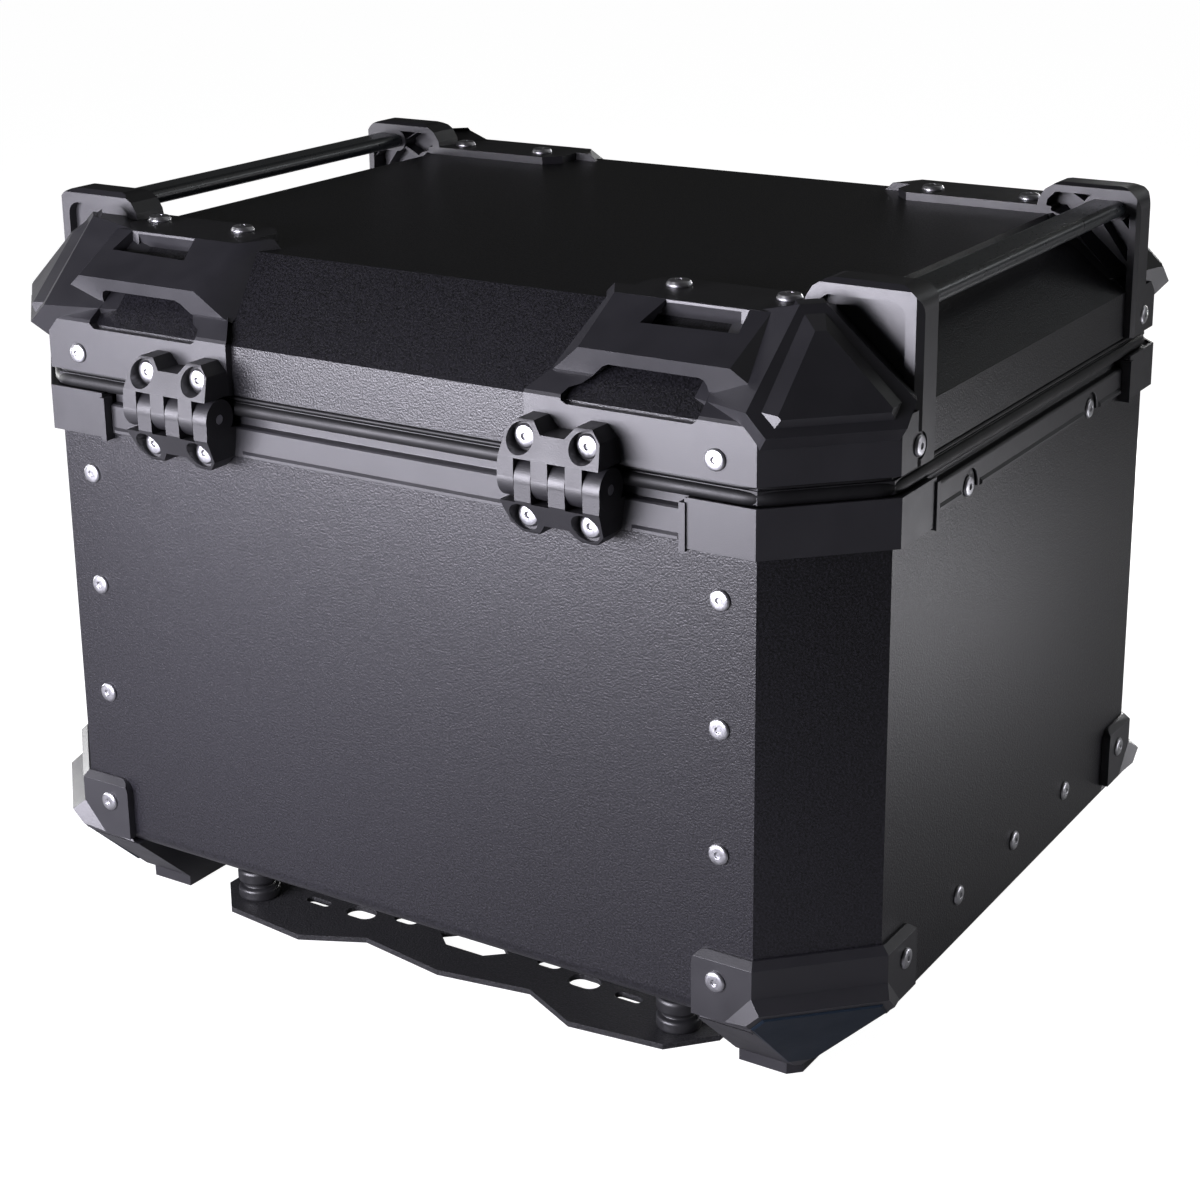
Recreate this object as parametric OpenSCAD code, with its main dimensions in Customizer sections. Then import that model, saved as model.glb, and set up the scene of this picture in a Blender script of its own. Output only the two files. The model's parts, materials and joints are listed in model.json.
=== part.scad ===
// Rigid top case with a hinged lid, corner guards, carry handles and a bolted base plate.
// X runs along the case, +Y is the hinge side, -Y is the latch side, +Z is up.
// The origin is the centre of the base plate's underside.

/* [Case] */
// Height of the case floor above the underside of the base plate
base_gap = 45; // [44:1:46]
// Half length of the case body
half_l = 250; // [250:1:251]
// Half width of the case body
half_w = 203; // [203:1:204]
// Leg of the chamfered vertical corners
corner_leg = 44; // [43.5:0.5:44.5]
// Thickness of the body sheet
sheet_t = 1.5; // [1.2:0.1:1.8]
// Height of the body sheet's top edge above the case floor
body_h = 250.5; // [250:0.5:251]
// Outer bend radius along the bottom edges
bend_r = 10; // [8:1:12]

/* [Lid] */
// Bottom of the lid skirt above the case floor
lid_z0 = 267; // [267:0.5:268]
// Crease between the lid skirt and its slopes
lid_z1 = 292; // [291:0.5:293]
// Top panel of the lid
lid_z2 = 330; // [330:0.5:331]
// How far the slopes run in from the skirt on the long sides
slope_y = 42; // [41:1:43]
// How far the slopes run in from the skirt on the ends
slope_x = 46; // [45:1:47]
// Thickness of the lid sheet
lid_t = 2; // [1.5:0.1:2.5]

/* [Handles] */
// Width of the flat oval handle tube
tube_w = 20.6; // [19:0.2:21]
// Thickness of the handle tube
tube_h = 8.2; // [7.6:0.2:8.6]
// Distance of the tube's middle from the case's middle
tube_x = 237; // [236.5:0.1:237.5]
// Height of the tube's middle above the case floor
tube_z = 336.3; // [336:0.1:336.6]

/* [Hinges] */
// Distance of each hinge's middle from the case's middle
hinge_x = 113; // [112:0.5:114]
// Distance of the hinge pin from the case's middle plane
pin_y = 216.5; // [216.5:0.1:216.8]
// Height of the hinge pin above the case floor
pin_z = 258; // [257.8:0.1:258.2]
// Radius of the hinge knuckles
knuckle_r = 10; // [9.6:0.1:10]
// Radius of the hinge pin
pin_r = 2.5; // [2.4:0.05:2.6]

/* [Fasteners] */
// Head radius of the rivets
rivet_r = 5.2; // [4.8:0.1:5.4]
// Shank radius of the rivets
shank_r = 2.4; // [2.2:0.1:2.5]

/* [Base plate] */
// Thickness of the base plate
plate_t = 3; // [2.5:0.5:3]
// Distance of the rack slots along the case
rack_x = 100; // [98:1:102]
// Distance of the rack slots across the case
rack_y = 75; // [74:1:76]
// Width of the rack slots
rack_slot_w = 8.4; // [8:0.1:8.8]
// End to end length of the rack slots
rack_slot_l = 30; // [28:1:32]

/* [Latch] */
// Height of the lever pivot above the case floor
piv_z = 223; // [222.5:0.1:223.5]
// Distance of the lever pivot from the front wall
piv_d = 8; // [7.9:0.1:8.1]

/* [Hidden] */
$fn = 48;
e = 0.02;
zb = base_gap;
ca = half_l - corner_leg;               // where the chamfer starts on the long walls
cb = half_w - corner_leg;               // where it starts on the end walls
sw = half_l - half_w;                   // offset of the mirror plane through a chamfer
n0 = (ca + half_w) / sqrt(2);           // distance of the chamfer plane from the axis
um = (half_l + cb) / 2;                 // middle of the chamfer
seam_x = 188;
seam_z = [87.6, 149.3, 211];
foot_rivet_x = 189;
rim_rivet_y = 78;
puck_x = 136; puck_y = 150;
guard_side_x = 187.5;

// ---- helpers ----
module up() { translate([0, 0, zb]) children(); }
module quad(sx, sy) { mirror([sx < 0 ? 1 : 0, 0, 0]) mirror([0, sy < 0 ? 1 : 0, 0]) children(); }
// a copy of the children on the other side of the corner's chamfer
module bisym() { children(); translate([sw / 2, -sw / 2, 0]) mirror([1, -1, 0]) translate([-sw / 2, sw / 2, 0]) children(); }
function swap(p) = [p[1] + sw, p[0] - sw, p[2]];
// a point from its place along the chamfer, its distance from the axis and its height
function pc(u, n, z) = [um + (u + (n - (um + um - sw) / sqrt(2))) / sqrt(2), (um - sw) + (n - (um + um - sw) / sqrt(2) - u) / sqrt(2), z];
// octagonal outline grown by g
module oct2(g) {
  a = half_l + g; b = half_w + g; c = corner_leg + g * (2 - sqrt(2));
  polygon([[a - c, b], [a, b - c], [a, -(b - c)], [a - c, -b], [-(a - c), -b], [-a, -(b - c)], [-a, b - c], [-(a - c), b]]);
}
module octz(g, z0, z1) { translate([0, 0, z0]) linear_extrude(z1 - z0) oct2(g); }
// half space through three points, on the side of the point i
module hs(a, b, c, i) {
  m = cross(b - a, c - a);
  n = (m * (i - a) < 0 ? m : -m) / norm(m);
  translate(a) rotate([0, acos(n[2]), atan2(n[1], n[0])]) translate([-400, -400, -800]) cube([800, 800, 800]);
}
module cvx(t, i) { intersection_for(k = t) hs(k[0], k[1], k[2], i); }
// prism along X from an outline in Y and Z
module px(x0, x1, p) { translate([x0, 0, 0]) rotate([90, 0, 90]) linear_extrude(x1 - x0) polygon(p); }
// prism along Y from an outline in X and Z
module py(y0, y1, p) { translate([0, y1, 0]) rotate([90, 0, 0]) linear_extrude(y1 - y0) polygon(p); }

// rivet standing on z = 0, gripping t below it
module rivet(t, hr = rivet_r, hh = 2.2) {
  rotate_extrude() polygon([[0, -t - 1.6], [shank_r + 1.2, -t - 1.6], [shank_r + 1.4, -t], [shank_r, -t], [shank_r, 0], [hr, 0], [hr, hh * 0.36],
    [hr - 0.7, hh * 0.66], [hr * 0.6, hh * 0.8], [1.6, hh * 0.82], [1.3, hh * 0.4], [0, hh * 0.4]]);
}
module rivet_hole(t) { translate([0, 0, -t - 3]) cylinder(r = shank_r + 0.1, h = t + 6); }
module at_seams() { for (sx = [-1, 1], sy = [-1, 1], z = seam_z) translate([sx * seam_x, sy * half_w, z]) rotate([-90 * sy, 0, 0]) children(); }
module at_ends() { for (sx = [-1, 1], y = [-71, 0, 71]) translate([sx * half_l, y, 25]) rotate([0, 90 * sx, 0]) children(); }
module at_rim() { for (sx = [-1, 1], sy = [-1, 1]) translate([sx * half_l, sy * rim_rivet_y, 239.6]) rotate([0, 90 * sx, 0]) children(); }
module at_feet(g) {
  for (sx = [-1, 1], sy = [-1, 1]) {
    translate([sx * foot_rivet_x, sy * (half_w + g), 25]) rotate([-90 * sy, 0, 0]) children();
    translate([sx * (half_l + g), sy * (foot_rivet_x - sw), 25]) rotate([0, 90 * sx, 0]) children();
  }
}
module at_pucks() { for (sx = [-1, 1], sy = [-1, 1]) translate([sx * puck_x, sy * puck_y, 0]) children(); }
module at_hinge(z) { for (sx = [-1, 1], k = [-1, 1]) translate([sx * hinge_x + k * 16.6, 0, z]) children(); }

// ---- body sheets ----
module wrap_profile(g) {
  w = half_w - g; r = bend_r - g;
  translate([-w, r + g]) square([2 * w, body_h + 20]);
  translate([-(w - r), g]) square([2 * (w - r), r + 1]);
  for (s = [-1, 1]) translate([s * (w - r), r + g]) circle(r = r);
}
module body_wrap() color([0.16, 0.16, 0.18]) up() difference() {
  union() {
    difference() {
      translate([-ca, 0, 0]) rotate([90, 0, 90]) linear_extrude(2 * ca) wrap_profile(0);
      translate([-ca - 1, 0, 0]) rotate([90, 0, 90]) linear_extrude(2 * ca + 2) wrap_profile(sheet_t);
      translate([-400, -400, body_h]) cube([800, 800, 100]);
    }
    // floor beyond the long walls, turned up inside the end panels
    intersection() {
      octz(-sheet_t, 0, 40);
      for (s = [-1, 1]) {
        translate([s > 0 ? ca - e : -half_l, -cb + 9, 0]) cube([corner_leg + e, 2 * (cb - 9), sheet_t]);
        translate([s > 0 ? half_l - 2 * sheet_t : -half_l + sheet_t, -cb + 12, 0]) cube([sheet_t, 2 * (cb - 12), 38]);
      }
    }
  }
  at_seams() rivet_hole(3);
  at_ends() rivet_hole(3);
  at_feet(0) rivet_hole(3);
  at_pucks() translate([0, 0, -1]) cylinder(r = 4.1, h = 5);
  at_hinge(239.5) translate([0, half_w + 5, 0]) rotate([90, 0, 0]) cylinder(r = 2.6, h = 10);
  for (x = [-34, 34], z = [172, 226]) translate([x, -half_w - 5, z]) rotate([-90, 0, 0]) cylinder(r = 2.1, h = 10);
}
module end_panel(s) color([0.16, 0.16, 0.18]) up() difference() {
  intersection() {
    union() {
      difference() { octz(0, 0, body_h); octz(-sheet_t, -1, body_h + 1); }
      intersection() {
        octz(-sheet_t / 2, 14, body_h);
        for (sy = [-1, 1]) translate([-half_l, sy > 0 ? half_w - 2 * sheet_t : -half_w + sheet_t, 0]) cube([2 * half_l, sheet_t, 300]);
      }
    }
    union() {
      translate([s > 0 ? ca + 0.05 : -half_l - 1, -half_w - 1, -1]) cube([corner_leg + 1, 2 * half_w + 2, body_h + 2]);
      translate([s > 0 ? 174 : -ca - 2, -half_w + sheet_t, 14]) cube([ca + 2 - 174, 2 * (half_w - sheet_t), body_h]);
    }
  }
  // the guards fill the lowest part of the corners
  for (sx = [-1, 1], sy = [-1, 1]) quad(sx, sy) translate([ca + 0.1, cb - 9, -1]) cube([60, 60, 5]);
  at_seams() rivet_hole(3);
  at_ends() rivet_hole(3);
  at_feet(0) rivet_hole(3);
  at_rim() rivet_hole(3);
}
module end_panel_left() end_panel(-1);
module end_panel_right() end_panel(1);
module body_rivets() color([0.8, 0.8, 0.82]) up() { at_seams() rivet(2 * sheet_t); at_ends() rivet(2 * sheet_t); }

// ---- rim mouldings ----
module rim_ring(g, z0, zt) {
  difference() {
    octz(g, z0, zt - 1.2);
    octz(0, z0 - 1, body_h + 0.1);
    octz(-4.5, z0 - 1, zt + 1);
  }
  difference() { octz(g, zt - 1.3, zt); octz(g - 1.4, zt - 2, zt + 1); }
}
module rim_corner(sx, sy) color([0.14, 0.14, 0.16]) up() quad(sx, sy) difference() {
  union() {
    intersection() {
      rim_ring(5, 234, 257.6);
      translate([172.5, 125, 200]) cube([100, 100, 100]);
    }
    // raised strips where the long and end strips meet the cap
    intersection() {
      difference() { octz(6.2, 232.6, 255.4); octz(0.05, 230, 256); }
      union() { translate([170.2, 190, 200]) cube([3.2, 40, 80]); translate([240, 123.2, 200]) cube([40, 3.2, 80]); }
    }
  }
  translate([0, 0, 252]) difference() { octz(-3.2, 0, 10); octz(-20, -1, 11); }
}
module rim_corner_fl() rim_corner(-1, -1);
module rim_corner_fr() rim_corner(1, -1);
module rim_corner_rl() rim_corner(-1, 1);
module rim_corner_rr() rim_corner(1, 1);
module rim_long(sy) color([0.14, 0.14, 0.16]) up() quad(1, sy) px(-170, 170, [[half_w + 0.05, 236], [half_w + 1.4, 236], [half_w + 1.4, 250.4], [half_w + 0.6, 251.3], [half_w - 2.8, 251.8], [half_w - 2.8, 255.8], [half_w - 5, 255.8], [half_w - 5, 250.6], [half_w + 0.05, 250.6]]);
module rim_strip_front() rim_long(-1);
module rim_strip_rear() difference() { rim_long(1); up() at_hinge(239.5) translate([0, half_w + 5, 0]) rotate([90, 0, 0]) cylinder(r = 2.6, h = 10); }
module rim_end(sx) color([0.14, 0.14, 0.16]) up() quad(sx, 1) difference() {
  py(-123, 123, [[half_l + 0.05, 237.6], [half_l + 1.4, 237.6], [half_l + 1.4, 250.4], [half_l + 0.6, 251.3], [half_l - 2.8, 251.8], [half_l - 2.8, 255.8], [half_l - 5, 255.8], [half_l - 5, 250.6], [half_l + 0.05, 250.6]]);
  for (y = [-rim_rivet_y, rim_rivet_y]) translate([half_l - 1, y, 239.6]) rotate([0, 90, 0]) { cylinder(r = 8.6, h = 5); }
}
module rim_strip_left() rim_end(-1);
module rim_strip_right() rim_end(1);
module rim_rivets() color([0.8, 0.8, 0.82]) up() at_rim() rivet(sheet_t);

// ---- foot guards ----
fz = -43;                                // underside of the feet
module bevel_ring(g0, g1, z0, z1) { hull() { octz(g0, z0, z0 + e); octz(g1, z1 - e, z1); } }
// plate outline on a wall with one rounded top corner, seen along the wall's normal
module tab(r, w, h) { translate([0, -1]) square([w, h + 1 - r]); translate([r, 0]) square([w - r, h]); translate([r, h - r]) circle(r = r); }
module foot_guard(sx, sy) color([0.13, 0.13, 0.15]) up() quad(sx, sy) difference() {
  A = pc(-31.5, n0 + 11.6, 15.9); B = pc(-38.5, n0 + 4.1, 5.2); P = pc(-40, n0 - 2, 9.5);
  union() {
    // ring round the corner with a bevelled upper edge
    intersection() {
      difference() {
        union() { octz(4.6, 5, 35.2); bevel_ring(4.6, 1.2, 35.2, 38.6); }
        octz(0.05, 4, 40);
      }
      union() {
        translate([0, 260, 5]) rotate([90, 0, 0]) linear_extrude(120) translate([176, 0]) tab(7, 90, 33.6);
        translate([140, 0, 5]) rotate([90, 0, 90]) linear_extrude(120) translate([129, 0]) tab(7, 70, 33.6);
      }
    }
    // corner wedge that carries the foot
    intersection() {
      difference() {
        cvx([[A, swap(A), pc(0, n0 - 27.8, -38)], [A, swap(A), pc(0, n0 + 4.6, 21)], [A, B, P], [swap(A), swap(B), swap(P)],
          [[176, 207.6, 5.5], [203, 207.6, 5.5], [190, 163.5, -36]], [swap([176, 207.6, 5.5]), swap([203, 207.6, 5.5]), swap([190, 163.5, -36])]],
          pc(0, n0 - 40, -5));
        octz(0.05, 4.05, 60);
        difference() { octz(0.05, -0.05, 60); translate([ca + 0.1, cb - 8.9, -1]) cube([60, 60, 5.05]); }
      }
      translate([176, 129, -36]) cube([100, 100, 60]);
      union() { octz(4.6, -40, 60); cvx([[A, B, P], [swap(A), swap(B), swap(P)]], pc(0, n0, 0)); }
    }
    // pad
    difference() {
      translate([177, 130, fz]) cube([32, 32, 8]);
      hs(pc(-10, n0 - 31, 0), pc(10, n0 - 31, 0), pc(0, n0 - 31, 10), pc(0, n0, 0));
    }
  }
  // hollow inside of the foot
  difference() {
    intersection() {
      translate([184, 137, fz - 1]) cube([60, 60, 60]);
      cvx([[[176, 200.6, 5.5], [203, 200.6, 5.5], [190, 156.5, -36]], [swap([176, 200.6, 5.5]), swap([203, 200.6, 5.5]), swap([190, 156.5, -36])],
        [pc(-20, n0 - 37, -38), pc(20, n0 - 37, -38), pc(0, n0 + 2.2, 16)]], pc(0, n0 - 60, -10));
    }
    translate([150, 100, -4]) cube([200, 200, 60]);
  }
  translate([foot_rivet_x, half_w + 10, 25]) rotate([90, 0, 0]) cylinder(r = shank_r + 0.1, h = 20);
  translate([half_l - 10, foot_rivet_x - sw, 25]) rotate([0, 90, 0]) cylinder(r = shank_r + 0.1, h = 20);
}
module foot_guard_fl() foot_guard(-1, -1);
module foot_guard_fr() foot_guard(1, -1);
module foot_guard_rl() foot_guard(-1, 1);
module foot_guard_rr() foot_guard(1, 1);
module foot_guard_rivets() color([0.8, 0.8, 0.82]) up() difference() {
  at_feet(4.6) rivet(4.6 + 2 * sheet_t);
}

// ---- base plate ----
module plate_outline() {
  // wavy front and rear edges, mirrored about both axes
  q = [[0, 169], [53, 160.5], [87, 177], [139, 171], [159, 149], [159, 62], [148, 44], [148, 0]];
  polygon(concat(q, [for (i = [len(q) - 2:-1:0]) [q[i][0], -q[i][1]]], [for (i = [1:len(q) - 1]) [-q[i][0], -q[i][1]]], [for (i = [len(q) - 2:-1:1]) [-q[i][0], q[i][1]]]));
}
module slot2(l, w) { for (s = [-1, 1]) translate([s * (l - w) / 2, 0]) circle(r = w / 2); square([l - w, w], center = true); }
module mounting_plate() color([0.1, 0.1, 0.11]) difference() {
  linear_extrude(plate_t) difference() {
    plate_outline();
    for (sx = [-1, 1], sy = [-1, 1]) {
      translate([sx * rack_x, sy * rack_y]) slot2(rack_slot_l, rack_slot_w);
      translate([sx * puck_x, sy * puck_y]) circle(r = 4.1);
      translate([sx * 73, sy * 139]) slot2(18, 12);
      translate([sx * 47, sy * 132]) slot2(15, 9);
      translate([sx * 101, sy * 141]) slot2(16, 6);
    }
    for (sy = [-1, 1]) translate([0, sy * 135]) polygon([[-22, 0], [-12, 9], [12, 9], [22, 0], [12, -9], [-12, -9]]);
    // weight saving windows round the middle
    polygon([[-62, 34], [-44, 52], [44, 52], [62, 34], [62, -34], [44, -52], [-44, -52], [-62, -34]]);
    for (sx = [-1, 1]) translate([sx * 118, 0]) slot2(26, 14);
  }
  at_pucks() translate([0, 0, -e]) rotate_extrude() polygon([[0, 0], [7, 0], [4.1, plate_t - 0.08], [0, plate_t - 0.08]]);
}
module plate_pucks() color([0.08, 0.08, 0.08]) at_pucks() difference() {
  translate([0, 0, plate_t]) rotate_extrude() polygon([[4.1, 0], [10.8, 0], [11.6, 1], [11.6, 5.5], [10.8, 6.6], [8.8, 7.2], [8.8, 9], [10.8, 9.8], [11.6, 11], [11.6, 16], [10.8, 17.4], [8.8, 18], [8.8, zb - plate_t - 8], [10.8, zb - plate_t - 5], [10.8, zb - plate_t], [4.1, zb - plate_t]]);
}
// bolts come up from below, their countersunk heads flush with the plate
module plate_bolts() color([0.75, 0.75, 0.78]) at_pucks()
  rotate_extrude() polygon([[2.6, 0], [6.8, 0], [3.95, plate_t - 0.1], [3.95, zb + 12.4], [3.3, zb + 13], [0, zb + 13], [0, 2], [2.6, 2]]);
module plate_nuts() color([0.75, 0.75, 0.78]) at_pucks() difference() {
  translate([0, 0, zb + sheet_t + 1.6]) cylinder(r = 7.5, h = 6.5, $fn = 6);
  cylinder(r = 4.0, h = 100);
}
module plate_washers() color([0.75, 0.75, 0.78]) at_pucks() difference() {
  translate([0, 0, zb + sheet_t]) cylinder(r = 10, h = 1.6);
  cylinder(r = 4.1, h = 100);
}
module floor_liner() color([0.2, 0.2, 0.21]) up() difference() {
  octz(-6, sheet_t + 0.05, sheet_t + 3);
  translate([-half_l, -half_w, 0]) cube([2 * half_l, bend_r + 2, 60]);
  translate([-half_l, half_w - bend_r - 2, 0]) cube([2 * half_l, bend_r + 2, 60]);
  at_pucks() translate([0, 0, -1]) cylinder(r = 13, h = 30);
  for (sx = [-1, 1], sy = [-1, 1]) quad(sx, sy) translate([ca - 0.4, cb - 9.5, -1]) cube([80, 80, 40]);
}

// ---- hinges ----
kw = 8.8; kg = 0.3; kn = 6;                       // knuckle width, gap and number
kx = -(kn * kw + (kn - 1) * kg) / 2;
// outline of a leaf seen from behind the case: f = 1 above the pin, -1 below it
module leaf_face(f, z) {
  q = [[-27.1, -30], [-27.1, -3], [-26.4, 3], [-24.8, 13], [-19.7, 18.3], [-11.2, 18.3], [-6.4, 12.6]];
  translate([0, 300, z]) rotate([90, 0, 0]) linear_extrude(200)
    polygon([for (p = concat(q, [for (i = [len(q) - 1:-1:0]) [-q[i][0], q[i][1]]])) [p[0], f * p[1]]]);
}
module hinge_upper(s) color([0.12, 0.12, 0.13]) up() translate([s * hinge_x, 0, 0]) difference() {
  union() {
    intersection() {
      px(kx, -kx, [[half_w + 4.1, 266.6], [half_w + 4.1, 290], [219.2, 290], [219.6, 285.4], [220.4, 284], [226.2, 268.6], [226.4, pin_z], [pin_y, pin_z], [half_w + 7, pin_z + 6]]);
      leaf_face(1, 267);
    }
    translate([kx, pin_y, pin_z]) rotate([0, 90, 0]) cylinder(r = knuckle_r, h = -2 * kx);
  }
  // gaps for the lower knuckles
  for (i = [0, 2, 4]) translate([kx + i * (kw + kg) - kg - (i == 0 ? 1 : 0), 0, 0]) {
    translate([0, pin_y - 30, pin_z - 30]) cube([kw + 2 * kg + (i == 0 ? 1 : 0), 60, 30 + 10.4]);
  }
  // nothing of this leaf under the pin except the knuckles
  translate([kx - 1, pin_y, pin_z]) rotate([0, 90, 0]) cylinder(r = pin_r + 0.05, h = -2 * kx + 2);
  for (k = [-1, 1]) translate([k * 16.6, 0, 277]) rotate([-90, 0, 0]) { translate([0, 0, 200]) cylinder(r = 2.6, h = 40); translate([0, 0, 217.4]) cylinder(r = 7.2, h = 20); }
}
module hinge_lower(s) color([0.12, 0.12, 0.13]) up() translate([s * hinge_x, 0, 0]) difference() {
  union() {
    intersection() {
      px(kx, -kx, [[half_w + 1.5, 252], [half_w + 1.5, 227], [214.6, 227], [216, 230.4], [217.4, 232], [226.2, 248.6], [226.4, pin_z], [pin_y, pin_z], [half_w + 7, pin_z - 6]]);
      leaf_face(-1, 249);
    }
    translate([kx, pin_y, pin_z]) rotate([0, 90, 0]) cylinder(r = knuckle_r, h = -2 * kx);
  }
  for (i = [1, 3, 5]) translate([kx + i * (kw + kg) - kg, 0, 0]) {
    translate([0, pin_y - 30, pin_z - 10.4]) cube([kw + 2 * kg + (i == 5 ? 1 : 0), 60, 40]);
  }
  translate([kx - 1, pin_y, pin_z]) rotate([0, 90, 0]) cylinder(r = pin_r, h = -2 * kx + 2);
  for (k = [-1, 1]) translate([k * 16.6, 0, 239.5]) rotate([-90, 0, 0]) { translate([0, 0, 200]) cylinder(r = 2.6, h = 40); translate([0, 0, 215.6]) cylinder(r = 7.2, h = 20); }
}
module hinge_upper_left() hinge_upper(-1);
module hinge_upper_right() hinge_upper(1);
module hinge_lower_left() hinge_lower(-1);
module hinge_lower_right() hinge_lower(1);
module hinge_pin(s) color([0.7, 0.7, 0.72]) up() translate([s * hinge_x + kx, pin_y, pin_z]) rotate([0, 90, 0]) cylinder(r = pin_r, h = -2 * kx);
module hinge_pin_left() hinge_pin(-1);
module hinge_pin_right() hinge_pin(1);
module hscrew(y0, z, back) { at_hinge(z) translate([0, y0, 0]) rotate([-90, 0, 0]) rotate_extrude() polygon([[0, -(y0 - back)], [2.5, -(y0 - back)], [2.5, 0], [5.8, 0], [5.8, 1], [5, 1.9], [3.4, 2.3], [1.6, 2.4], [1.4, 1], [0, 1]]); }
module hinge_upper_screws() color([0.8, 0.8, 0.82]) up() hscrew(217.4, 277, half_w - lid_t - 4);
module hinge_lower_screws() color([0.8, 0.8, 0.82]) up() hscrew(215.6, 239.5, half_w - sheet_t - 3);

// ---- lid ----
module lid_solid(g) { // outer form of the lid, shrunk by g
  intersection() {
    octz(-g, lid_z0, lid_z2 - g);
    px(-300, 300, [[-half_w + g, 0], [-half_w + g, lid_z1 - g * 0.42], [-half_w + slope_y + g * 0.38, lid_z2 - g], [half_w - slope_y - g * 0.38, lid_z2 - g], [half_w - g, lid_z1 - g * 0.42], [half_w - g, 0]]);
    py(-300, 300, [[-half_l + g, 0], [-half_l + g, lid_z1 - g * 0.42], [-half_l + slope_x + g * 0.38, lid_z2 - g], [half_l - slope_x - g * 0.38, lid_z2 - g], [half_l - g, lid_z1 - g * 0.42], [half_l - g, 0]]);
    for (r = [0]) intersection_for(s = [[1, 1], [1, -1], [-1, 1], [-1, -1]])
      hs([s[0] * (ca - g), s[1] * (half_w - g), lid_z1 - g * 0.42], [s[0] * (half_l - g), s[1] * (cb - g), lid_z1 - g * 0.42], [s[0] * (half_l - slope_x - g - 5), s[1] * (half_w - slope_y - g - 5), lid_z2 - g], [0, 0, 280]);
  }
}
module lid_shell() color([0.15, 0.15, 0.17]) up() difference() {
  lid_solid(0);
  difference() { lid_solid(lid_t); translate([0, 0, lid_z0 - 1]) cube([0.01, 0.01, 0.01]); }
  octz(-lid_t, lid_z0 - 1, lid_z0 + 1);
  at_hinge(277) translate([0, half_w + 5, 0]) rotate([90, 0, 0]) cylinder(r = 2.6, h = 12);
  for (x = [-9, 9]) translate([x, -half_w - 5, 279]) rotate([-90, 0, 0]) cylinder(r = 2.1, h = 12);
  at_guard_side(0) translate([0, 0, -8]) cylinder(r = shank_r + 0.1, h = 16);
  at_guard_top() translate([0, 0, -8]) cylinder(r = 2.6, h = 16);
}
module lid_inner_frame() color([0.18, 0.18, 0.19]) up() difference() {
  octz(-lid_t - 0.05, lid_z0 - 5, lid_z0 + 6);
  octz(-14, lid_z0 - 10, lid_z0 + 20);
  difference() { octz(10, lid_z0 - 8, lid_z0 + 0.05); octz(-6.05, lid_z0 - 10, lid_z0 + 1); }
}
module lid_gasket() color([0.05, 0.05, 0.05]) up() {
  // seal: a groove rib under the lid edge and a round bead under it
  for (k = [0]) difference() {
    union() {
      octz(-1.2, 264.4, lid_z0);
      octz(0.2, 262.2, 264.0);
      octz(-1.4, 263.8, 264.6);
      octz(-1.2, 261.8, 262.4);
      octz(0.6, 257.9, 261.4);
      octz(-0.2, 261.2, 262);
      octz(-0.4, 257.2, 258);
    }
    octz(-6, 250, 280);
  }
}
module at_guard_side(g) {
  for (sx = [-1, 1], sy = [-1, 1]) {
    translate([sx * guard_side_x, sy * (half_w + g), 276.8]) rotate([-90 * sy, 0, 0]) children();
    translate([sx * (half_l + g), sy * (143.4 - 0), 276.8]) rotate([0, 90 * sx, 0]) children();
  }
}
module at_guard_top() { for (sx = [-1, 1], sy = [-1, 1], x = [130.6, 187.8]) translate([sx * x, sy * 140.4, lid_z2]) children(); }

// ---- lid corner guards ----
gt = 4;                                   // how far the guard stands off the lid skirt
gn = n0 + 12.7;                           // lower edge of the raised corner face
function gf(z) = gn - 0.73 * (z - 291.2);  // slanted raised corner face
module guard_pod() {
  A = pc(-31.6, gf(291.2), 291.2); B = pc(-38.4, gf(301.2), 301.2); C = pc(-6, gf(340), 340);
  D = pc(-35, n0 + gt, 283.6); P = pc(-39.5, n0 - 4.7, 294.9); S = pc(-38.4 - 4, gf(301.2) - 14, 301.2);
  cvx([[A, B, swap(A)], [A, swap(A), D], [A, B, P], [swap(A), swap(B), swap(P)],
    [B, C, S], [swap(B), swap(C), swap(S)],
    [C, swap(C), pc(0, gf(340) - 20, 334)], [pc(-10, n0 - 56, 0), pc(10, n0 - 56, 0), pc(0, n0 - 56, 10)]], pc(0, n0 - 10, 300));
  // raised triangle with bevelled sides
  h = 4.6;
  F = [for (q = [[-4.6, 336.2], [-31.4, 301], [-26.8, 294.8]]) pc(q[0], gf(q[1]), q[1])];
  Q = [for (q = [[-2.6, 330.6], [-26, 300.6], [-24.6, 298.8]]) pc(q[0], gf(q[1]) + h, q[1])];
  cvx([[Q[0], Q[1], swap(Q[0])], [F[0], swap(F[0]), Q[0]], [F[0], F[1], Q[0]], [F[1], F[2], Q[1]], [F[2], swap(F[2]), Q[2]],
    [swap(F[0]), swap(F[1]), swap(Q[0])], [swap(F[1]), swap(F[2]), swap(Q[1])], [pc(-30, gf(291.2) - 4, 291.2), pc(30, gf(291.2) - 4, 291.2), pc(0, gf(330) - 4, 330)]], pc(0, gf(305) + 0.5, 305));
}
// end outline of the handle bracket, seen along the case's width
bracket_top = [for (a = [90:-10:0]) [243 + 12 * cos(a), 335.7 + 12 * sin(a)]];
module bracket() {
  intersection() {
    py(126, 146.5, concat([[204, 330], [197, 330], [198.6, 338], [202, 343.4], [207.5, 346.9], [211, 347.7]], bracket_top, [[255, 267.2], [half_l - 3, 267.2], [half_l - 3, 292]]));
    hs([255, 142.8, 0], [252.4, 146.5, 0], [255, 142.8, 10], [200, 140, 0]);
    hs([0, 142.8, 347.7], [0, 146.5, 345.6], [10, 142.8, 347.7], [200, 140, 300]);
    hs([255, 129, 0], [253.4, 126, 0], [255, 129, 10], [200, 140, 0]);
    hs([0, 129, 347.7], [0, 126, 346.2], [10, 129, 347.7], [200, 140, 300]);
  }
}
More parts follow.
